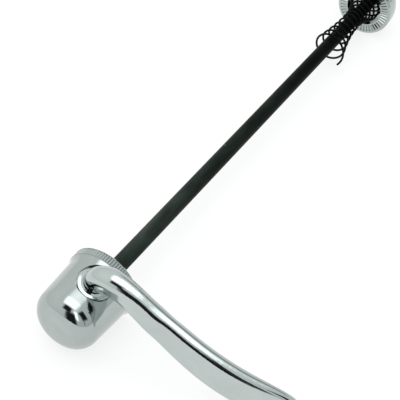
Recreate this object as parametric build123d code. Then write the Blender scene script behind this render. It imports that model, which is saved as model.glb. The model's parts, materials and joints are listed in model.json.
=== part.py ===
"""Quick release skewer for a bicycle wheel, lying closed on a flat surface.

Each piece is made in a bench frame: X runs along the rod from the lever head to the
nut, Z runs along the cam spindle towards the lever, and the closed lever points to -Y.
The origin is on the rod's axis, in the plane of the head's clamping face. The finished
pieces are then turned about the rod by lie_angle, until the flange of the head and the
lower edge of the lever touch the same level surface.
"""
from math import asin, atan2, cos, degrees, hypot, pi, radians, sin, sqrt
import os

from build123d import *

# Rod, in millimetres
rod_diameter = 5.0
thread_pitch = 0.8
pitch_line_share = 0.65
thread_length = 38.0
grip_length = 170.0
rod_stand_out = 1.0
rod_tip_chamfer = 0.5

# Head
head_length = 22.2
flange_diameter = 22.2
flange_width = 2.7
flange_rim = 0.5
flange_bevel = 0.3
flange_lip = 0.2
flange_step = 0.1
flange_flare = 2.2
barrel_diameter = 20.8
barrel_end_diameter = 18.9
barrel_end_radius = 5.5
barrel_end_dome = 0.4
knurl_count = 84
knurl_land = 0.42
knurl_depth = 0.2
knurl_sink = 0.06
serration_count = 48
serration_depth = 0.35
serration_width = 0.6
serration_land = 0.5
serration_rim = 1.2
head_recess_depth = 2.0

# Cam, spindle and the eye of the rod
spindle_offset = 8.9
cam_eccentricity = 0.9
cam_diameter = 5.8
cam_slack = 0.3
journal_wall = 0.4
eye_wall = 1.35
eye_thickness = 4.6
eye_root_length = 3.5
eye_round_share = 0.45
eye_side_clearance = 0.15
eye_end_clearance = 0.8
running_clearance = 0.1
face_clearance = 0.1

# Collar of the lever and its seat in the head
collar_diameter = 9.9
collar_thickness = 0.95
collar_round = 0.4
collar_gap = 0.45
collar_seat_margin = 0.15

# Clip and washer on the far end of the spindle
washer_diameter = 8.0
washer_thickness = 0.5
clip_diameter = 7.0
clip_thickness = 0.6
clip_groove_depth = 0.4
clip_mouth = 2.8
clip_end_land = 0.45
clip_play = 0.05
spindle_sink = 0.3
pocket_clearance = 0.4

# Arm and blade of the lever, in heights above the rod and distances from the spindle
neck_diameter = 6.8
neck_flare = 1.2
flare_steps = 3
neck_height = 1.5
elbow_reach = 8.0
elbow_rise = 0.9
elbow_steps = 5
arm_top = 18.9
arm_underside = 12.2
crest_fall_end = 22.0
shank_thickness = 5.1
shank_step_start = 19.0
shank_step_end = 22.5
arm_thickness = 4.4
arm_taper_start = 2.0
arm_taper_end = 15.0
arm_edge_share = 0.47
full_round_share = 0.49
blade_underside = 5.4
blade_flare_start = 5.0
blade_flare_end = 60.0
blade_length = 64.0
blade_tip_round = 7.0
blade_tip_thickness = 2.6
blade_tip_turns = (25, 45, 62, 76)
blade_thinning_length = 21.0
blade_bow_radius = 78.0
blade_bow_start = 30.0
blade_bow_end = 50.0
blade_station_gap = 8.0
lie_samples = 100

# Conical springs, the free one and the one pressed up to the nut
spring_wire = 0.8
spring_wide_diameter = 13.5
spring_bore_clearance = 0.4
spring_cone_power = 2.0
spring_turns = 5.6
spring_facets = 14
wire_facets = 6
free_spring_length = 19.7
nut_spring_length = 13.3
spring_gap = 0.3
spring_droop = 2.9
spring_droop_power = 2.0
spring_tail_angle = 216.0

# Adjusting nut and its locking ring
nut_diameter = 22.2
nut_length = 15.0
nut_rim_width = 6.5
nut_rim_bevel = 0.6
nut_dome_radius = 12.0
nut_end_diameter = 13.0
nut_end_bevel = 0.8
nut_recess_depth = 2.5
nut_recess_clearance = 0.25
thread_clearance = 0.06
ring_wall = 2.0
ring_length = 3.0
ring_inset = 0.3

# Sizes that follow from the ones above
thread_diameter = rod_diameter - pitch_line_share * thread_pitch
thread_bore = thread_diameter + 2 * thread_clearance
slot_width = cam_diameter + 2 * cam_slack
slot_length = slot_width + 2 * cam_eccentricity
eye_width = slot_length + 2 * eye_wall
eye_length = slot_width + 2 * eye_wall
eye_x = -spindle_offset - cam_eccentricity
cavity_diameter = hypot(eye_width, eye_thickness) + 2 * eye_side_clearance
cavity_depth = -eye_x + eye_length / 2 + eye_end_clearance
journal_diameter = cam_diameter + 2 * (cam_eccentricity + journal_wall)
pilot_diameter = cam_diameter - 2 * cam_eccentricity
groove_diameter = pilot_diameter - 2 * clip_groove_depth
cam_half_length = eye_thickness / 2 + cam_slack
seat_diameter = collar_diameter + 2 * collar_gap
spring_bore = rod_diameter + 2 * spring_bore_clearance
spring_wide_radius = (spring_wide_diameter - spring_wire) / 2
spring_narrow_radius = (spring_bore + spring_wire) / 2
recess_diameter = spring_wide_diameter + 2 * nut_recess_clearance
nut_end_x = grip_length + nut_length
rod_end_x = nut_end_x + rod_stand_out
nut_spring_x = grip_length + nut_recess_depth - face_clearance
free_spring_x = nut_spring_x - nut_spring_length - spring_gap
ring_diameter = thread_bore + 2 * ring_wall
ring_start = nut_end_x - ring_inset - ring_length
ring_end = nut_end_x - ring_inset


def barrel_radius_at(distance):
    """Radius of the tapering barrel at a distance behind the clamping face."""
    start = flange_width + flange_lip
    share = (distance - start) / (head_length - start)
    return (barrel_diameter + share * (barrel_end_diameter - barrel_diameter)) / 2


spindle_barrel_radius = barrel_radius_at(spindle_offset + seat_diameter / 2)
seat_height = sqrt(spindle_barrel_radius**2 - (seat_diameter / 2) ** 2) - collar_seat_margin
collar_base = seat_height + face_clearance
collar_top = collar_base + collar_thickness
bend_base = collar_top + neck_height
spindle_end = -(spindle_barrel_radius - spindle_sink)
clip_low = spindle_end + clip_end_land
clip_high = clip_low + clip_thickness
washer_low = clip_high + clip_play
washer_high = washer_low + washer_thickness
pocket_floor = washer_high + face_clearance


def smooth_step(start, end, value):
    """Rise from 0 to 1 between start and end with level ends."""
    share = min(max((value - start) / (end - start), 0.0), 1.0)
    return share * share * (3 - 2 * share)


def arm_crest(reach):
    """Height of the lever's upper edge at a distance from the spindle."""
    return arm_top + elbow_rise * (1 - smooth_step(elbow_reach, crest_fall_end, reach))


def blade_bottom(reach):
    """Height of the lever's lower edge at a distance from the spindle."""
    share = (blade_flare_end - reach) / (blade_flare_end - blade_flare_start)
    return blade_underside + (arm_underside - blade_underside) * max(share, 0.0) ** 2


def bow_arc(reach):
    """Length along the arm, within the bowed stretch, at a distance from the spindle."""
    return min(max(reach, blade_bow_start), blade_bow_end) - blade_bow_start


def blade_slope(reach):
    """Slope of the bow at a distance from the spindle."""
    return bow_arc(reach) / sqrt(blade_bow_radius**2 - bow_arc(reach) ** 2)


def blade_bow(reach):
    """How far the blade curves towards the wheel at a distance from the spindle."""
    arc = blade_bow_radius - sqrt(blade_bow_radius**2 - bow_arc(reach) ** 2)
    return arc + max(reach - blade_bow_end, 0.0) * blade_slope(reach)


def tip_share(reach):
    """Share of the full breadth that the rounded tip leaves at a distance."""
    past = max(reach - (blade_length - blade_tip_round), 0.0) / blade_tip_round
    return sqrt(1 - past**2)


def blade_edges(reach):
    """Heights of the lower and upper edge, with the rounding of the tip."""
    middle = (arm_crest(reach) + blade_bottom(reach)) / 2
    half = tip_share(reach) * (arm_crest(reach) - blade_bottom(reach)) / 2
    return middle - half, middle + half


def contact_angle(reach):
    """Turn about the rod that lays this point of the lower edge on the flange's level."""
    low = blade_edges(reach)[0]
    return degrees(asin(flange_diameter / 2 / hypot(reach, low)) + atan2(low, reach))


outer_half = range(lie_samples // 2, lie_samples)
lie_angle = min(contact_angle(blade_length * step / lie_samples) for step in outer_half)


def turned(points, fillets=(), closing=None):
    """Revolve a profile of (x, radius) points, closed by a line or a given edge, about the rod."""
    outline = Polyline(*points, close=closing is None).edges()
    profile = make_face(outline if closing is None else outline + [closing])
    for corner, radius in fillets:
        spot = profile.vertices().sort_by_distance((corner[0], corner[1], 0))[0]
        profile = fillet(spot, radius)
    return revolve(profile, Axis.X)


def cross_cylinder(diameter, low, high, shift=0.0):
    """Cylinder along the spindle between two heights, moved off the spindle along the rod."""
    place = Pos(-spindle_offset + shift, 0, low)
    flat = (Align.CENTER, Align.CENTER, Align.MIN)
    return place * Cylinder(diameter / 2, high - low, align=flat)


def rod_cylinder(diameter, start, end):
    """Cylinder along the rod between two places."""
    flat = (Align.CENTER, Align.CENTER, Align.MIN)
    return Pos(start, 0, 0) * Rot(Y=90) * Cylinder(diameter / 2, end - start, align=flat)


def serration_cutters(face_x, into, rim_radius):
    """Ring of radial grooves for a clamping face, cut towards the sign of into."""
    inner = recess_diameter / 2 + serration_land
    outer = rim_radius - serration_rim
    section = Plane.XY.offset(inner) * make_face(
        Polyline(
            (face_x - into * serration_depth, -serration_width),
            (face_x + into * serration_depth, 0),
            (face_x - into * serration_depth, serration_width),
            close=True,
        )
    )
    groove = extrude(section, outer - inner)
    return [Rot(X=360 * step / serration_count) * groove for step in range(serration_count)]


def knurled_flange():
    """Flange disc with a plain bevelled rim in front of straight knurling."""
    tip = flange_diameter / 2
    land_radius = tip - knurl_sink
    half_turn = pi / knurl_count
    half_land = knurl_land / land_radius / 2
    points = []
    for tooth in range(knurl_count):
        middle = 2 * half_turn * tooth
        for turn, radius in (
            (middle - half_land, land_radius),
            (middle + half_land, land_radius),
            (middle + half_turn, land_radius - knurl_depth),
        ):
            points.append((radius * cos(turn), radius * sin(turn)))
    start = Plane.YZ.offset(-flange_width)
    knurl = extrude(start * make_face(Polyline(*points, close=True)), flange_width - flange_rim)
    rim = turned(
        [
            (0, 0),
            (0, tip - flange_bevel),
            (-flange_bevel, tip),
            (-flange_rim, tip),
            (-flange_rim, 0),
        ]
    )
    return knurl + rim


def head_barrel():
    """Tapering barrel with a domed end, flaring up to the flange in a hollow curve."""
    lip = flange_diameter / 2 - knurl_sink - flange_step
    flare_end = (-flange_width - flange_lip, lip)
    flare_start = flare_end[0] - flange_flare
    foot = (flare_start, barrel_radius_at(-flare_start))
    shoulder = (-head_length + barrel_end_dome, barrel_end_diameter / 2)
    points = [
        flare_end,
        (-flange_width, lip),
        (-flange_width, 0),
        (-head_length, 0),
        shoulder,
        foot,
    ]
    taper = (foot[0] - shoulder[0], foot[1] - shoulder[1])
    flare = TangentArc(foot, flare_end, tangent=taper)
    return turned(points, [(shoulder, barrel_end_radius)], flare)


def cam_housing():
    """Head of the skewer: flange, barrel, cavity for the eye and bores for the spindle."""
    reach = flange_diameter
    cavity = rod_cylinder(cavity_diameter, -cavity_depth, reach)
    recess = rod_cylinder(recess_diameter, -head_recess_depth, reach)
    journal_bore = cross_cylinder(journal_diameter + 2 * running_clearance, 0, reach)
    collar_seat = cross_cylinder(seat_diameter, seat_height, reach)
    pilot_bore = cross_cylinder(pilot_diameter + 2 * running_clearance, -reach, 0)
    pocket = cross_cylinder(washer_diameter + 2 * pocket_clearance, -reach, pocket_floor)
    head = knurled_flange() + head_barrel()
    head = head - cavity - recess - journal_bore - collar_seat - pilot_bore - pocket
    return head - serration_cutters(0, -1, flange_diameter / 2)


def lever_section(inner, outer, thickness, edge_radius, x, slope=0.0):
    """Rounded cross section of the arm between two (distance, height) points."""
    out = inner[0] - outer[0]
    rise = outer[1] - inner[1]
    breadth = hypot(out, rise)
    centre = (x, -(inner[0] + outer[0]) / 2, (inner[1] + outer[1]) / 2)
    forward = Vector(slope * rise, -rise, out).normalized()
    across = Vector(1, slope, 0).normalized()
    plane = Plane(origin=centre, x_dir=across, z_dir=forward)
    limit = full_round_share * min(thickness, breadth)
    return plane * RectangleRounded(thickness, breadth, min(edge_radius, limit))


def thickness_at(reach):
    """Thickness of the arm, from the round neck over the shank to the flat blade and its tip."""
    root = smooth_step(arm_taper_start, arm_taper_end, reach)
    step = smooth_step(shank_step_start, shank_step_end, reach)
    tip = smooth_step(blade_length - blade_thinning_length, blade_length, reach)
    thickness = neck_diameter + root * (shank_thickness - neck_diameter)
    thickness = thickness + step * (arm_thickness - shank_thickness)
    return thickness + tip * (blade_tip_thickness - arm_thickness)


def edge_radius_at(reach):
    """Edge rounding of the arm, full at the round neck and a little less along the blade."""
    flat = smooth_step(arm_taper_start, arm_taper_end, reach)
    return thickness_at(reach) * ((1 - flat) / 2 + arm_edge_share * flat)


def elbow_sections():
    """Sections that turn from the round neck on the collar into the level arm."""
    radius = neck_diameter / 2
    foot = lever_section(
        (radius, collar_top), (-radius, collar_top), neck_diameter, radius, -spindle_offset
    )
    sections = [foot]
    for step in range(elbow_steps + 1):
        swing = radians(90 * step / elbow_steps)
        outer = (
            elbow_reach - (elbow_reach + radius) * cos(swing),
            bend_base + (arm_crest(elbow_reach) - bend_base) * sin(swing),
        )
        inner = (
            radius + (elbow_reach - radius) * (step / elbow_steps) ** 2,
            bend_base + (blade_bottom(elbow_reach) - bend_base) * sin(swing),
        )
        reach = max((inner[0] + outer[0]) / 2, 0.0)
        edge = edge_radius_at(reach)
        sections.append(
            lever_section(inner, outer, thickness_at(reach), edge, -spindle_offset)
        )
    return sections


def blade_section(reach):
    """Section of the arm or blade at a distance from the spindle."""
    low, high = blade_edges(reach)
    x = -spindle_offset + blade_bow(reach)
    edge = edge_radius_at(reach)
    slope = blade_slope(reach)
    return lever_section((reach, low), (reach, high), thickness_at(reach), edge, x, slope)


def blade_sections():
    """Sections of the arm and blade, evenly spaced and closer at the step and the rounded tip."""
    tip_start = blade_length - blade_tip_round
    count = round((tip_start - elbow_reach) / blade_station_gap)
    gap = (tip_start - elbow_reach) / count
    even = [elbow_reach + gap * (place + 1) for place in range(count)]
    along = sorted(even + [shank_step_start, shank_step_end])
    closing = [tip_start + blade_tip_round * sin(radians(turn)) for turn in blade_tip_turns]
    return [blade_section(reach) for reach in along + closing]


def neck_trumpet():
    """Hollow flare between the collar and the round neck."""
    radius = neck_diameter / 2
    points = [(0, collar_base), (radius + neck_flare, collar_base)]
    for step in range(flare_steps + 1):
        turn = radians(90 * step / flare_steps)
        out = radius + neck_flare * (1 - sin(turn))
        points.append((out, collar_top + neck_flare * (1 - cos(turn))))
    points.append((0, collar_top + neck_flare))
    profile = make_face(Polyline(*points, close=True))
    return Pos(-spindle_offset, 0, 0) * revolve(Plane.XZ * profile, Axis.Z)


def lever_spindle():
    """Collar, journal, eccentric cam and grooved pilot, turned on two centres."""
    collar = cross_cylinder(collar_diameter, collar_base, collar_top)
    collar = fillet(collar.edges().group_by(Axis.Z)[-1], collar_round)
    journal = cross_cylinder(journal_diameter, cam_half_length, collar_base)
    cam = cross_cylinder(cam_diameter, -cam_half_length, cam_half_length, -cam_eccentricity)
    pilot = cross_cylinder(pilot_diameter, spindle_end, -cam_half_length)
    groove = cross_cylinder(2 * pilot_diameter, clip_low, clip_high)
    groove = groove - cross_cylinder(groove_diameter, clip_low, clip_high)
    return collar + journal + cam + (pilot - groove)


def lever():
    """Forged lever in one piece with its spindle."""
    arm = loft(elbow_sections() + blade_sections())
    return lever_spindle() + neck_trumpet() + arm


def spindle_washer():
    """Flat washer between the clip and the floor of its pocket."""
    disc = cross_cylinder(washer_diameter, washer_low, washer_high)
    return disc - cross_cylinder(pilot_diameter + 2 * running_clearance, washer_low, washer_high)


def spindle_clip():
    """Open spring clip seated in the groove of the spindle."""
    ring = cross_cylinder(clip_diameter, clip_low, clip_high)
    ring = ring - cross_cylinder(groove_diameter, clip_low, clip_high)
    mouth = Pos(-spindle_offset, clip_diameter / 2, (clip_low + clip_high) / 2)
    return ring - mouth * Box(clip_mouth, clip_diameter, clip_diameter)


def rod_eye():
    """Flattened eye at the head end of the rod, slotted across for the cam."""
    outline = Pos(eye_x, 0) * RectangleRounded(eye_length, eye_width, eye_round_share * eye_length)
    root_start = eye_x + slot_width / 2
    root_end = eye_x + eye_length / 2 + eye_root_length
    root = make_face(
        Polyline(
            (root_start, -slot_length / 2),
            (root_end, -rod_diameter / 2),
            (root_end, rod_diameter / 2),
            (root_start, slot_length / 2),
            close=True,
        )
    )
    slot = Pos(eye_x, 0) * Rot(Z=90) * SlotOverall(slot_length, slot_width)
    return Pos(0, 0, -eye_thickness / 2) * extrude(outline + root - slot, eye_thickness)


def skewer_rod():
    """Rod with its eye, plain shank and thread length at the pitch diameter."""
    thread_start = rod_end_x - thread_length
    shank = rod_cylinder(rod_diameter, eye_x + eye_length / 2, thread_start)
    thread = turned(
        [
            (thread_start, 0),
            (thread_start, thread_diameter / 2),
            (rod_end_x - rod_tip_chamfer, thread_diameter / 2),
            (rod_end_x, thread_diameter / 2 - rod_tip_chamfer),
            (rod_end_x, 0),
        ]
    )
    return rod_eye() + shank + thread


def wire_section(share, length, start_angle, droop):
    """Facetted section of the spring's wire, from the drooping wide end (0) to the narrow end (1)."""
    advance = length - spring_wire
    sweep_angle = -2 * pi * spring_turns
    angle = radians(start_angle) + sweep_angle * share
    widening = spring_wide_radius - spring_narrow_radius
    radius = spring_narrow_radius + widening * (1 - share) ** spring_cone_power
    narrowing = -spring_cone_power * widening * (1 - share) ** (spring_cone_power - 1)
    drop = droop * (1 - share) ** spring_droop_power
    lifting = spring_droop_power * droop * (1 - share) ** (spring_droop_power - 1)
    radial = Vector(0, cos(angle), sin(angle))
    around = Vector(0, -sin(angle), cos(angle))
    along = Vector(advance, 0, lifting) + radial * narrowing + around * (radius * sweep_angle)
    along = along.normalized()
    origin = Vector(spring_wire / 2 + advance * share, 0, -drop) + radial * radius
    plane = Plane(origin=origin, x_dir=radial - along * radial.dot(along), z_dir=along)
    return plane * RegularPolygon(spring_wire / 2, wire_facets)


def conical_spring(length, start_angle, droop=0.0):
    """Left-handed conical spring along X, wide at its start and narrow at its end."""
    count = round(spring_turns * spring_facets)
    shares = [step / count for step in range(count + 1)]
    sections = [wire_section(share, length, start_angle, droop) for share in shares]
    return loft(sections, ruled=True)


def nut_side_spring():
    """Spring whose wide end is seated in the recess of the nut."""
    coil = conical_spring(nut_spring_length, spring_tail_angle)
    return Pos(nut_spring_x, 0, 0) * Rot(Z=180) * coil


def lever_side_spring():
    """Free spring that hangs on the rod, with its wide end drooping and its tail loose."""
    coil = conical_spring(free_spring_length, spring_tail_angle, spring_droop)
    return Pos(free_spring_x - free_spring_length, 0, 0) * coil


def adjusting_nut():
    """Domed nut with a serrated clamping face, a spring recess and a locking ring seat."""
    rim_end = grip_length + nut_rim_width
    rim = nut_diameter / 2
    body = turned(
        [
            (grip_length, 0),
            (grip_length, rim - nut_rim_bevel),
            (grip_length + nut_rim_bevel, rim),
            (rim_end, rim),
            (nut_end_x - nut_end_bevel, nut_end_diameter / 2),
            (nut_end_x, nut_end_diameter / 2 - nut_end_bevel),
            (nut_end_x, 0),
        ],
        [((rim_end, rim), nut_dome_radius)],
    )
    reach = nut_end_x + nut_length
    recess = rod_cylinder(recess_diameter, 0, grip_length + nut_recess_depth)
    bore = rod_cylinder(thread_bore, grip_length, reach)
    seat = rod_cylinder(ring_diameter, ring_start, reach)
    return body - recess - bore - seat - serration_cutters(grip_length, 1, rim)


def nut_locking_ring():
    """Plastic ring that grips the thread and keeps the nut where it is set."""
    ring = rod_cylinder(ring_diameter, ring_start, ring_end)
    return ring - rod_cylinder(thread_bore, ring_start, ring_end)


lie = Rot(X=lie_angle)
pieces = {
    "cam_housing": lie * cam_housing(),
    "lever": lie * lever(),
    "spindle_washer": lie * spindle_washer(),
    "spindle_clip": lie * spindle_clip(),
    "skewer_rod": lie * skewer_rod(),
    "lever_side_spring": lever_side_spring(),
    "nut_side_spring": nut_side_spring(),
    "adjusting_nut": lie * adjusting_nut(),
    "nut_locking_ring": lie * nut_locking_ring(),
}

os.makedirs("parts", exist_ok=True)
for name, shape in pieces.items():
    export_step(shape, f"parts/{name}.step")
print("lie_angle", round(lie_angle, 3))
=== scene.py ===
"""Looks of the quick release skewer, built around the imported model. All lengths are in metres."""
import json
from math import cos, pi, radians, sin, tan

import bpy
from mathutils import Matrix, Quaternion, Vector

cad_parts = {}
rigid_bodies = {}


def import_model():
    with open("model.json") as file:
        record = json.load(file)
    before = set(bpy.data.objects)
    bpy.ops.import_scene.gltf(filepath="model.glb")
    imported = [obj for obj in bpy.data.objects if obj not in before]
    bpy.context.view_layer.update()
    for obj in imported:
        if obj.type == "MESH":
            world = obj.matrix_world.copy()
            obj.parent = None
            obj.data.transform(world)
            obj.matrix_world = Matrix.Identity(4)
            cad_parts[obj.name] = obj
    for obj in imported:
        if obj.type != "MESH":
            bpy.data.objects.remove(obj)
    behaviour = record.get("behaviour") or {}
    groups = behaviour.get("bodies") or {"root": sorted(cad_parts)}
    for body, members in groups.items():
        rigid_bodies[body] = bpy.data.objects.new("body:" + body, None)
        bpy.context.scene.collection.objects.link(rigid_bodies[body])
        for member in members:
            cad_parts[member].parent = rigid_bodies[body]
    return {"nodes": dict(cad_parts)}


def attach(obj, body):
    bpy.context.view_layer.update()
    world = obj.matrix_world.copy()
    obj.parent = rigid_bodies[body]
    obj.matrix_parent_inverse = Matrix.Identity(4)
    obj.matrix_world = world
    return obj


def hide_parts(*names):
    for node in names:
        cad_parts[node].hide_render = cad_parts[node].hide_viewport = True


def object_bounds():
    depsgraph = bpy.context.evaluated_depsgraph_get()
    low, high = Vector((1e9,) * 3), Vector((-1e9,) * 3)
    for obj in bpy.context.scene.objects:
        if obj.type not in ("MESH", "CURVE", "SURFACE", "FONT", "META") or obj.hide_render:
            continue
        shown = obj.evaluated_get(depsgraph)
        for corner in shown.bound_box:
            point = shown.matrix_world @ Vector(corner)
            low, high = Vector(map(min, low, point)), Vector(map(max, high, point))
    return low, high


for leftover in list(bpy.data.objects):
    bpy.data.objects.remove(leftover)
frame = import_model()
cad_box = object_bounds()

MM = 0.001
MICRON = 0.000001

# Springs, as the source makes them, narrow end to narrow end on the rod
WIRE_RADIUS = 0.4 * MM
SPRING_WIDE_RADIUS = 6.35 * MM
SPRING_NARROW_RADIUS = 3.3 * MM
SPRING_CONE_POWER = 2.0
SPRING_TURNS = 5.6
SPRING_TAIL_ANGLE = radians(216)
SPRING_DROOP_POWER = 2.0
FREE_SPRING_DROOP = 2.9 * MM
FREE_SPRING_LENGTH = 19.7 * MM
FREE_SPRING_NARROW_X = 158.8 * MM
NUT_SPRING_DROOP = 0.0
NUT_SPRING_LENGTH = 13.3 * MM
NUT_SPRING_WIDE_X = 172.4 * MM
WIRE_SIDES = 14
WIRE_STEPS_PER_TURN = 48
WIRE_END_RINGS = 4

# Thread that stands on the rod's plain end, with its crest, flanks and run-out as shares of the pitch
THREAD_PITCH = 0.8 * MM
THREAD_ROOT_RADIUS = 2.2 * MM
THREAD_CREST_RADIUS = 2.48 * MM
THREAD_CREST_SHARE = 0.14
THREAD_FLANK_SHARE = 0.36
THREAD_RUN_OUT = 1.0
THREAD_STEPS_PER_TURN = 40
THREAD_START_X = 148.4 * MM
THREAD_END_X = 185.2 * MM

# Camera, fitted to the picture, with its lens and sensor in millimetres
CAMERA_PLACE = Vector((-0.1394, -0.09314, 0.20917))
CAMERA_AHEAD = Vector((0.6244, 0.3045, -0.7193))
CAMERA_ROLL = radians(8.8)
CAMERA_LENS = 85.5
SENSOR_WIDTH = 36.0
CAMERA_NEAR_CLIP = 0.01
CAMERA_FAR_CLIP = 20.0

# Studio, with directions as azimuth from +X and elevation in degrees, seen from the head
STUDIO_CENTRE = Vector((-0.009, 0.0, 0.005))

# White floor, whose glow only the camera and reflections see
FLOOR_SIZE = 6.0
FLOOR_GLOW = 0.76
FLOOR_ALBEDO = 0.25
FLOOR_FIBRE_SHARE = 0.97

# White tent, clear above a share of the sphere's radius and dimmer down to the horizon
TENT_NEAR_COLOUR = (0.78, 0.82, 0.84)
TENT_FAR_COLOUR = (1.02, 1.05, 1.035)
TENT_HORIZON = 0.87
TENT_CLEAR_HEIGHT = 0.6

# Soft boxes, whose edges fade over a share of their width
TOP_LAMP_HEIGHT = 0.5
TOP_LAMP_SIZE = 0.58
TOP_LAMP_RADIANCE = 1.4
TOP_LAMP_SOFTNESS = 0.22
STRIP_DIRECTION = (-143, 36)
STRIP_ANGLES = (17, 46)
STRIP_DISTANCE = 0.3
STRIP_RADIANCE = 2.0
STRIP_SOFTNESS = 0.4
ROD_LAMP_PLACE = Vector((0.0, 0.13, 0.06))
ROD_LAMP_TARGET = Vector((0.03, 0.0, 0.0))
ROD_LAMP_SIZE = 0.13
ROD_LAMP_RADIANCE = 8.0
ROD_LAMP_SOFTNESS = 0.22

# Black flags: name, direction, width and height in degrees, distance and opacity
FLAGS = (
    ("flag_left", (176, 47), (32, 30), 0.1, 1.0),
    ("flag_low", (-167, 14.5), (46, 69), 1.5, 1.0),
    ("flag_right", (-105, 36), (36, 40), 1.5, 1.0),
    ("flag_far", (-14, 38), (60, 16), 1.0, 0.6),
)
BLADE_FLAG_PLACE = Vector((-0.0544, -0.0803, 0.042))
BLADE_FLAG_NORMAL = Vector((0.871, -0.492, 0.0))
BLADE_FLAG_SIZE = (0.078, 0.076)
BLADE_FLAG_OPACITY = 1.0
FLAG_SOFTNESS = 0.25

# Band of a noise over which most colours run from their dark to their light tone
NOISE_BAND = (0.3, 0.7)

# Chrome plate, with its tone on each piece and the shares of it in and out of the haze
CHROME_TINT = (0.91, 1.0, 0.976)
HEAD_TONE = 0.46
LEVER_TONE = 0.55
NUT_TONE = 0.47
HAZE_DULL_SHARE = 0.95
HAZE_BRIGHT_SHARE = 1.05
CHROME_ROUGHNESS = (0.04, 0.15)
TURNED_MARKS = {"marks": (2400, 60, 60), "wave_height": 40 * MICRON, "mark_height": 5 * MICRON}
DRAWN_MARKS = {"marks": (1500, 80, 1500), "wave_height": 60 * MICRON, "mark_height": 2 * MICRON}

# Rod's finish, and the stretch over which painted shade darkens it towards the thread, in place of
# light falling off along the rod
ROD_DARK_COLOUR = (0.001, 0.002, 0.0015)
ROD_LIGHT_COLOUR = (0.026, 0.035, 0.028)
ROD_TONE_BAND = (0.05, 0.72)
ROD_PAINTED_SHADE_START = 0.02
ROD_PAINTED_SHADE_END = 0.125
ROD_PAINTED_SHADE_SHARE = 0.1
ROD_ROUGHNESS = (0.3, 0.48)
ROD_SPECULAR = 0.03
ROD_STREAK_HEIGHT = 6 * MICRON
SPECK_COLOUR = (0.3, 0.28, 0.2)
SPECK_BAND = (0.03, 0.07)
SPECK_SHARE = 0.3
SPECKS_PER_METRE = 230


class Finish:
    """Node material in the making, with short calls for the textures that it is built from."""

    def __init__(self, name):
        self.material = bpy.data.materials.new(name)
        self.material.use_nodes = True
        self.nodes = self.material.node_tree.nodes
        self.links = self.material.node_tree.links
        self.nodes.clear()
        self.shader = self.nodes.new("ShaderNodeBsdfPrincipled")
        output = self.nodes.new("ShaderNodeOutputMaterial")
        self.links.new(self.shader.outputs["BSDF"], output.inputs["Surface"])

    def set(self, socket, value):
        """Set one constant input of the shader."""
        self.shader.inputs[socket].default_value = value

    def feed(self, socket, value):
        """Link a texture to one input of the shader."""
        self.links.new(value, self.shader.inputs[socket])

    def coordinates(self, stretch=(1, 1, 1)):
        """Object coordinates, stretched along the frame's axes."""
        place = self.nodes.new("ShaderNodeTexCoord")
        mapping = self.nodes.new("ShaderNodeMapping")
        mapping.inputs["Scale"].default_value = stretch
        self.links.new(place.outputs["Object"], mapping.inputs["Vector"])
        return mapping.outputs["Vector"]

    def noise(self, per_metre, detail, distortion=0.0):
        """Noise with a number of features per metre along each axis."""
        texture = self.nodes.new("ShaderNodeTexNoise")
        texture.inputs["Scale"].default_value = 1.0
        texture.inputs["Detail"].default_value = detail
        texture.inputs["Distortion"].default_value = distortion
        self.links.new(self.coordinates(per_metre), texture.inputs["Vector"])
        return texture.outputs["Fac"]

    def ramp(self, value, band, low, high):
        """Colour that runs from low to high over a band of a value."""
        node = self.nodes.new("ShaderNodeValToRGB")
        for element, place, colour in zip(node.color_ramp.elements, band, (low, high)):
            element.position = place
            element.color = (*colour, 1)
        self.links.new(value, node.inputs["Fac"])
        return node.outputs["Color"]

    def spread(self, value, low, high):
        """Value from 0 to 1 spread between two levels."""
        node = self.nodes.new("ShaderNodeMapRange")
        node.inputs["To Min"].default_value = low
        node.inputs["To Max"].default_value = high
        self.links.new(value, node.inputs["Value"])
        return node.outputs["Result"]

    def along_rod(self, start, end, low, high):
        """Value that runs from low to high between two places along the rod."""
        split = self.nodes.new("ShaderNodeSeparateXYZ")
        self.links.new(self.coordinates(), split.inputs["Vector"])
        node = self.nodes.new("ShaderNodeMapRange")
        node.inputs["From Min"].default_value = start
        node.inputs["From Max"].default_value = end
        node.inputs["To Min"].default_value = low
        node.inputs["To Max"].default_value = high
        self.links.new(split.outputs["X"], node.inputs["Value"])
        return node.outputs["Result"]

    def specks(self, per_metre, band, colour):
        """Small round specks of a colour on black."""
        texture = self.nodes.new("ShaderNodeTexVoronoi")
        texture.inputs["Scale"].default_value = per_metre
        self.links.new(self.coordinates(), texture.inputs["Vector"])
        return self.ramp(texture.outputs["Distance"], band, colour, (0, 0, 0))

    def added(self, colour, extra, share):
        """Colour with a share of another one added to it."""
        node = self.nodes.new("ShaderNodeMix")
        node.data_type = "RGBA"
        node.blend_type = "ADD"
        node.inputs["Factor"].default_value = share
        self.links.new(colour, node.inputs["A"])
        self.links.new(extra, node.inputs["B"])
        return node.outputs["Result"]

    def combined(self, operation, first, second):
        """Two values combined by a math operation."""
        node = self.nodes.new("ShaderNodeMath")
        node.operation = operation
        self.links.new(first, node.inputs[0])
        self.links.new(second, node.inputs[1])
        return node.outputs["Value"]

    def bump(self, height, distance, below=None):
        """Bump of a height in metres on the shader's normal, over another bump if one is given."""
        node = self.nodes.new("ShaderNodeBump")
        node.inputs["Distance"].default_value = distance
        self.links.new(height, node.inputs["Height"])
        if below is not None:
            self.links.new(below, node.inputs["Normal"])
        self.feed("Normal", node.outputs["Normal"])
        return node.outputs["Normal"]


def even(number):
    """The same number three times, for features that are alike along each axis or for a grey."""
    return (number, number, number)


def toned(share, tone):
    """Chrome's tint at a share of a tone."""
    return [share * tone * part for part in CHROME_TINT]


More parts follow.
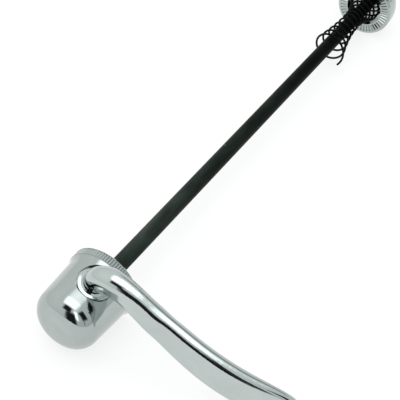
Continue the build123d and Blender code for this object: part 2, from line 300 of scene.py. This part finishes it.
def chrome(name, tone, marks, wave_height, mark_height):
    """Polished chrome plate with slight waves, haze and fine marks along one direction."""
    finish = Finish(name)
    finish.set("Metallic", 1.0)
    haze = finish.noise(per_metre=even(130), detail=5, distortion=0.4)
    dull, bright = toned(HAZE_DULL_SHARE, tone), toned(HAZE_BRIGHT_SHARE, tone)
    finish.feed("Base Color", finish.ramp(haze, NOISE_BAND, dull, bright))
    lines = finish.noise(per_metre=marks, detail=3)
    smudge = finish.noise(per_metre=even(420), detail=3)
    wear = finish.combined("MULTIPLY", lines, smudge)
    finish.feed("Roughness", finish.spread(wear, *CHROME_ROUGHNESS))
    waves = finish.bump(finish.noise(per_metre=even(240), detail=2), wave_height)
    finish.bump(lines, mark_height, waves)
    return finish.material


def black_rod():
    """Satin greenish black finish with streaks and a few pale specks, and painted shade that darkens it
    towards the thread.
    """
    finish = Finish("satin_black_rod")
    blotch = finish.noise(per_metre=(90, 240, 240), detail=5, distortion=0.6)
    # Painted shade: the colour darkens along the rod towards the thread, standing in for light falling
    # off away from the rod lamp
    painted_shade = finish.along_rod(ROD_PAINTED_SHADE_START, ROD_PAINTED_SHADE_END, 1.0, ROD_PAINTED_SHADE_SHARE)
    tone = finish.combined("MULTIPLY", blotch, painted_shade)
    colour = finish.ramp(tone, ROD_TONE_BAND, ROD_DARK_COLOUR, ROD_LIGHT_COLOUR)
    specks = finish.specks(SPECKS_PER_METRE, SPECK_BAND, SPECK_COLOUR)
    finish.feed("Base Color", finish.added(colour, specks, SPECK_SHARE))
    streaks = finish.noise(per_metre=(40, 1500, 1500), detail=4)
    finish.feed("Roughness", finish.spread(streaks, *ROD_ROUGHNESS))
    finish.set("Specular IOR Level", ROD_SPECULAR)
    finish.bump(streaks, ROD_STREAK_HEIGHT)
    return finish.material


def grained(name, per_metre, detail, dark, light, roughness, height, band=NOISE_BAND):
    """Finish whose colour, roughness and bump follow one grain."""
    finish = Finish(name)
    grain = finish.noise(per_metre, detail)
    finish.feed("Base Color", finish.ramp(grain, band, dark, light))
    finish.feed("Roughness", finish.spread(grain, *roughness))
    finish.bump(grain, height)
    return finish


def black_wire():
    """Semi-gloss blackened spring wire with drawing marks and slight wear."""
    finish = grained(
        "black_spring_wire",
        per_metre=even(900),
        detail=5,
        dark=(0.0016, 0.0018, 0.002),
        light=(0.006, 0.0062, 0.0066),
        roughness=(0.26, 0.46),
        height=8 * MICRON,
        band=(0.35, 0.75),
    )
    finish.set("Specular IOR Level", 0.05)
    return finish.material


def plain_steel():
    """Bright stamped steel with fine brushing."""
    finish = grained(
        "stamped_steel",
        per_metre=(300, 4000, 4000),
        detail=3,
        dark=(0.4, 0.4, 0.41),
        light=(0.54, 0.54, 0.55),
        roughness=(0.22, 0.42),
        height=4 * MICRON,
    )
    finish.set("Metallic", 1.0)
    return finish.material


def natural_nylon():
    """Milky moulded nylon with a soft grain."""
    finish = grained(
        "natural_nylon",
        per_metre=even(1400),
        detail=4,
        dark=(0.66, 0.65, 0.59),
        light=(0.78, 0.77, 0.72),
        roughness=(0.4, 0.6),
        height=6 * MICRON,
    )
    return finish.material


def mesh_object(name, points, faces, material):
    """Mesh object of points and faces in one material."""
    mesh = bpy.data.meshes.new(name)
    mesh.from_pydata(points, [], faces)
    mesh.materials.append(material)
    thing = bpy.data.objects.new(name, mesh)
    bpy.context.scene.collection.objects.link(thing)
    return thing


def riding_piece(name, points, faces, material, body, smooth):
    """Mesh piece that rides on a body and takes a slot's finish."""
    piece = mesh_object(name, points, faces, material)
    piece.data.polygons.foreach_set("use_smooth", [smooth] * len(piece.data.polygons))
    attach(piece, body)
    return piece


def wire_rings(path):
    """Centre, direction, cross direction and radius of each ring of a wire with rounded ends."""
    rings = []
    last = len(path) - 1
    across = (path[1] - path[0]).orthogonal()
    for index, centre in enumerate(path):
        along = (path[min(index + 1, last)] - path[max(index - 1, 0)]).normalized()
        across = (across - along * across.dot(along)).normalized()
        rings.append((centre, along, across, WIRE_RADIUS))
    first, first_along, first_across, _ = rings[0]
    final, final_along, final_across, _ = rings[-1]
    for step in range(1, WIRE_END_RINGS):
        turn = radians(90 * step / WIRE_END_RINGS)
        outward, radius = WIRE_RADIUS * sin(turn), WIRE_RADIUS * cos(turn)
        rings.insert(0, (first - first_along * outward, first_along, first_across, radius))
        rings.append((final + final_along * outward, final_along, final_across, radius))
    return rings


def wire_mesh(path):
    """Points and faces of a closed round wire along a path."""
    rings = wire_rings(path)
    points = []
    for centre, along, across, radius in rings:
        beside = along.cross(across)
        for side in range(WIRE_SIDES):
            turn = 2 * pi * side / WIRE_SIDES
            points.append(centre + (across * cos(turn) + beside * sin(turn)) * radius)
    end = (len(rings) - 1) * WIRE_SIDES
    faces = []
    for low in range(0, end, WIRE_SIDES):
        high = low + WIRE_SIDES
        for side in range(WIRE_SIDES):
            after = (side + 1) % WIRE_SIDES
            faces.append((low + side, low + after, high + after, high + side))
    faces.append(tuple(reversed(range(WIRE_SIDES))))
    faces.append(tuple(range(end, end + WIRE_SIDES)))
    return points, faces


def spring_path(length, droop, place):
    """Centreline of a conical spring, wide and drooping at its start, moved to its place."""
    count = round(SPRING_TURNS * WIRE_STEPS_PER_TURN)
    widening = SPRING_WIDE_RADIUS - SPRING_NARROW_RADIUS
    path = []
    for step in range(count + 1):
        share = step / count
        turn = SPRING_TAIL_ANGLE - 2 * pi * SPRING_TURNS * share
        radius = SPRING_NARROW_RADIUS + widening * (1 - share) ** SPRING_CONE_POWER
        along = WIRE_RADIUS + (length - 2 * WIRE_RADIUS) * share
        drop = droop * (1 - share) ** SPRING_DROOP_POWER
        path.append(place @ Vector((along, radius * cos(turn), radius * sin(turn) - drop)))
    return path


def springs():
    """The two conical springs in smooth round wire."""
    material = black_wire()
    free = Matrix.Translation((FREE_SPRING_NARROW_X - FREE_SPRING_LENGTH, 0, 0))
    seated = Matrix.Translation((NUT_SPRING_WIDE_X, 0, 0)) @ Matrix.Rotation(pi, 4, "Z")
    free_shape = (FREE_SPRING_LENGTH, FREE_SPRING_DROOP, free)
    seated_shape = (NUT_SPRING_LENGTH, NUT_SPRING_DROOP, seated)
    for name, node, body, shape in (
        ("lever_spring_wire", "lever_side_spring", "lever_spring", free_shape),
        ("nut_spring_wire", "nut_side_spring", "nut_spring", seated_shape),
    ):
        points, faces = wire_mesh(spring_path(*shape))
        piece = riding_piece(name, points, faces, material, body, True)
        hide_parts(node)


def rod_thread(material):
    """Right-handed thread ridge on the outer end of the rod, fading in and out."""
    turns = (THREAD_END_X - THREAD_START_X) / THREAD_PITCH
    count = round(turns * THREAD_STEPS_PER_TURN)
    crest_edge = THREAD_CREST_SHARE / 2
    foot_edge = crest_edge + THREAD_FLANK_SHARE
    profile = ((-foot_edge, 0), (-crest_edge, 1), (crest_edge, 1), (foot_edge, 0))
    points = []
    for step in range(count + 1):
        place = turns * step / count
        turn = 2 * pi * place
        rise = min(1.0, place / THREAD_RUN_OUT, (turns - place) / THREAD_RUN_OUT)
        for shift, height in profile:
            x = THREAD_START_X + (place + shift) * THREAD_PITCH
            radius = THREAD_ROOT_RADIUS + (THREAD_CREST_RADIUS - THREAD_ROOT_RADIUS) * height * rise
            points.append(Vector((x, radius * cos(turn), radius * sin(turn))))
    width = len(profile)
    faces = []
    for low in range(0, count * width, width):
        for side in range(width):
            after = (side + 1) % width
            faces.append((low + side, low + width + side, low + width + after, low + after))
    faces.append(tuple(range(width)))
    faces.append(tuple(reversed(range(count * width, (count + 1) * width))))
    return riding_piece("rod_thread", points, faces, material, "rod", False)


def finish_nodes(rod_finish_and_painted_shade):
    """Give every CAD node that stays its finish."""
    steel = plain_steel()
    finishes = {
        "cam_housing": chrome("chrome_head_finish", HEAD_TONE, **TURNED_MARKS),
        "lever": chrome("chrome_lever_finish", LEVER_TONE, **DRAWN_MARKS),
        "adjusting_nut": chrome("chrome_nut_finish", NUT_TONE, **TURNED_MARKS),
        "spindle_washer": steel,
        "spindle_clip": steel,
        "nut_locking_ring": natural_nylon(),
        "skewer_rod": rod_finish_and_painted_shade,
    }
    for node, material in finishes.items():
        frame["nodes"][node].material_slots[0].material = material


def direction(azimuth, elevation):
    """Unit vector towards an azimuth from +X and an elevation, in degrees."""
    turn, rise = radians(azimuth), radians(elevation)
    return Vector((cos(turn) * cos(rise), sin(turn) * cos(rise), sin(rise)))


def face_towards(thing, place, target):
    """Put a lamp or card in its place, facing a target."""
    thing.location = place
    thing.rotation_mode = "QUATERNION"
    thing.rotation_quaternion = (target - place).to_track_quat("-Z", "Y")


def angular_size(angles, distance):
    """Width and height that fill two angles at a distance."""
    return [2 * distance * tan(radians(angle / 2)) for angle in angles]


def soft_edges(tree, place, softness):
    """Mask that falls off towards the edges of a card whose place runs from 0 to 1."""
    middle = 0.5
    split = tree.nodes.new("ShaderNodeSeparateXYZ")
    tree.links.new(place, split.inputs["Vector"])
    mask = tree.nodes.new("ShaderNodeMath")
    mask.operation = "MULTIPLY"
    for index, axis in enumerate(("X", "Y")):
        fold = tree.nodes.new("ShaderNodeMath")
        fold.operation = "PINGPONG"
        fold.inputs[1].default_value = middle
        tree.links.new(split.outputs[axis], fold.inputs[0])
        fade = tree.nodes.new("ShaderNodeMapRange")
        fade.interpolation_type = "SMOOTHSTEP"
        fade.inputs["From Max"].default_value = softness
        tree.links.new(fold.outputs["Value"], fade.inputs["Value"])
        tree.links.new(fade.outputs["Result"], mask.inputs[index])
    return mask.outputs["Value"]


def area_lamp(name, width, height, radiance, softness):
    """Rectangular soft box of a given radiance with soft edges, unseen by the camera itself."""
    data = bpy.data.lights.new(name, "AREA")
    data.shape = "RECTANGLE"
    data.size = width
    data.size_y = height
    data.energy = radiance * pi * width * height
    data.use_nodes = True
    tree = data.node_tree
    spot = tree.nodes.new("ShaderNodeNewGeometry")
    emission = tree.nodes["Emission"]
    mask = soft_edges(tree, spot.outputs["Parametric"], softness)
    tree.links.new(mask, emission.inputs["Strength"])
    lamp = bpy.data.objects.new(name, data)
    lamp.visible_camera = False
    bpy.context.scene.collection.objects.link(lamp)
    return lamp


def light_only(lamp, pieces):
    """Let a lamp light nothing but some pieces."""
    lit = bpy.data.collections.new(lamp.name + "_receivers")
    for piece in pieces:
        lit.objects.link(piece)
    lamp.light_linking.receiver_collection = lit


def top_lamp():
    """Large soft box overhead."""
    lamp = area_lamp("top_soft_box", TOP_LAMP_SIZE, TOP_LAMP_SIZE, TOP_LAMP_RADIANCE, TOP_LAMP_SOFTNESS)
    face_towards(lamp, STUDIO_CENTRE + Vector((0, 0, TOP_LAMP_HEIGHT)), STUDIO_CENTRE)


def strip_lamp(pieces):
    """Narrow upright soft box that lights some pieces alone."""
    width, height = angular_size(STRIP_ANGLES, STRIP_DISTANCE)
    lamp = area_lamp("strip_soft_box", width, height, STRIP_RADIANCE, STRIP_SOFTNESS)
    face_towards(lamp, STUDIO_CENTRE + direction(*STRIP_DIRECTION) * STRIP_DISTANCE, STUDIO_CENTRE)
    light_only(lamp, pieces)


def rod_lamp(pieces):
    """Small soft box beside the rod that lights some pieces alone."""
    lamp = area_lamp("rod_soft_box", ROD_LAMP_SIZE, ROD_LAMP_SIZE, ROD_LAMP_RADIANCE, ROD_LAMP_SOFTNESS)
    face_towards(lamp, ROD_LAMP_PLACE, ROD_LAMP_TARGET)
    light_only(lamp, pieces)


def flag_material(name, opacity):
    """Black cloth with a faint weave and soft edges, for the flags that chrome reflects."""
    finish = Finish(name)
    weave = finish.noise(per_metre=even(300), detail=3)
    dark, light = (0.003, 0.003, 0.004), (0.012, 0.01, 0.014)
    finish.feed("Base Color", finish.ramp(weave, NOISE_BAND, dark, light))
    finish.set("Roughness", 0.9)
    place = finish.nodes.new("ShaderNodeTexCoord")
    mask = soft_edges(finish, place.outputs["Generated"], FLAG_SOFTNESS)
    finish.feed("Alpha", finish.spread(mask, 0.0, opacity))
    return finish.material


def card(name, width, height, material):
    """Rectangular card of the stage, centred and level."""
    x, y = width / 2, height / 2
    corners = [(-x, -y, 0), (x, -y, 0), (x, y, 0), (-x, y, 0)]
    sheet = mesh_object(name, corners, [(0, 1, 2, 3)], material)
    return sheet


def hang_flag(name, size, place, target, opacity):
    """Black card in its place, facing a target and seen only in reflections."""
    flag = card(name, *size, flag_material(name + "_cloth", opacity))
    face_towards(flag, place, target)
    flag.visible_camera = False
    flag.visible_diffuse = False
    flag.visible_shadow = False
    flag.visible_transmission = False


def flags():
    """Black cards around the head, and an upright one beside the blade."""
    for name, where, angles, distance, opacity in FLAGS:
        place = STUDIO_CENTRE + direction(*where) * distance
        hang_flag(name, angular_size(angles, distance), place, STUDIO_CENTRE, opacity)
    target = BLADE_FLAG_PLACE + BLADE_FLAG_NORMAL
    hang_flag("flag_blade", BLADE_FLAG_SIZE, BLADE_FLAG_PLACE, target, BLADE_FLAG_OPACITY)


def tent():
    """White tent around the object, dimmer on the near side and low down."""
    world = bpy.data.worlds.new("white_tent")
    bpy.context.scene.world = world
    world.use_nodes = True
    nodes = world.node_tree.nodes
    links = world.node_tree.links
    nodes.clear()
    place = nodes.new("ShaderNodeTexCoord")
    split = nodes.new("ShaderNodeSeparateXYZ")
    links.new(place.outputs["Generated"], split.inputs["Vector"])
    # Y runs from -1 on the near side to 1 on the far side
    side = nodes.new("ShaderNodeMapRange")
    side.inputs["From Min"].default_value = -1.0
    links.new(split.outputs["Y"], side.inputs["Value"])
    tint = nodes.new("ShaderNodeMix")
    tint.data_type = "RGBA"
    tint.inputs["A"].default_value = (*TENT_NEAR_COLOUR, 1)
    tint.inputs["B"].default_value = (*TENT_FAR_COLOUR, 1)
    links.new(side.outputs["Result"], tint.inputs["Factor"])
    level = nodes.new("ShaderNodeMapRange")
    level.inputs["From Max"].default_value = TENT_CLEAR_HEIGHT
    level.inputs["To Min"].default_value = TENT_HORIZON
    links.new(split.outputs["Z"], level.inputs["Value"])
    background = nodes.new("ShaderNodeBackground")
    links.new(tint.outputs["Result"], background.inputs["Color"])
    links.new(level.outputs["Result"], background.inputs["Strength"])
    output = nodes.new("ShaderNodeOutputWorld")
    links.new(background.outputs["Background"], output.inputs["Surface"])


def floor():
    """Plain white floor that shows the object's shadow faintly."""
    finish = Finish("white_floor")
    paper = finish.noise(per_metre=even(60), detail=4)
    fibre, white = even(FLOOR_ALBEDO * FLOOR_FIBRE_SHARE), even(FLOOR_ALBEDO)
    finish.feed("Base Color", finish.ramp(paper, NOISE_BAND, fibre, white))
    finish.set("Roughness", 1.0)
    finish.set("Specular IOR Level", 0.0)
    finish.set("Emission Color", (1, 1, 1, 1))
    path = finish.nodes.new("ShaderNodeLightPath")
    seen = path.outputs["Is Camera Ray"]
    for kind in ("Is Glossy Ray", "Is Transmission Ray"):
        seen = finish.combined("MAXIMUM", seen, path.outputs[kind])
    finish.feed("Emission Strength", finish.spread(seen, 0.0, FLOOR_GLOW))
    sheet = card("floor", FLOOR_SIZE, FLOOR_SIZE, finish.material)
    sheet.location.z = cad_box[0].z


def camera():
    """Camera at the picture's viewing angle."""
    data = bpy.data.cameras.new("camera")
    data.lens = CAMERA_LENS
    data.sensor_width = SENSOR_WIDTH
    data.clip_start = CAMERA_NEAR_CLIP
    data.clip_end = CAMERA_FAR_CLIP
    eye = bpy.data.objects.new("camera", data)
    eye.location = CAMERA_PLACE
    eye.rotation_mode = "QUATERNION"
    level = CAMERA_AHEAD.to_track_quat("-Z", "Y")
    eye.rotation_quaternion = level @ Quaternion((0, 0, 1), CAMERA_ROLL)
    bpy.context.scene.collection.objects.link(eye)
    bpy.context.scene.camera = eye


# The rod's finish carries painted shade along its length, and the thread shares it
rod_finish_and_painted_shade = black_rod()
finish_nodes(rod_finish_and_painted_shade)
springs()
thread = rod_thread(rod_finish_and_painted_shade)
tent()
floor()
top_lamp()
strip_lamp([frame["nodes"]["cam_housing"]])
rod_lamp([frame["nodes"]["skewer_rod"], thread])
flags()
camera()
bpy.context.scene.view_settings.view_transform = "Standard"
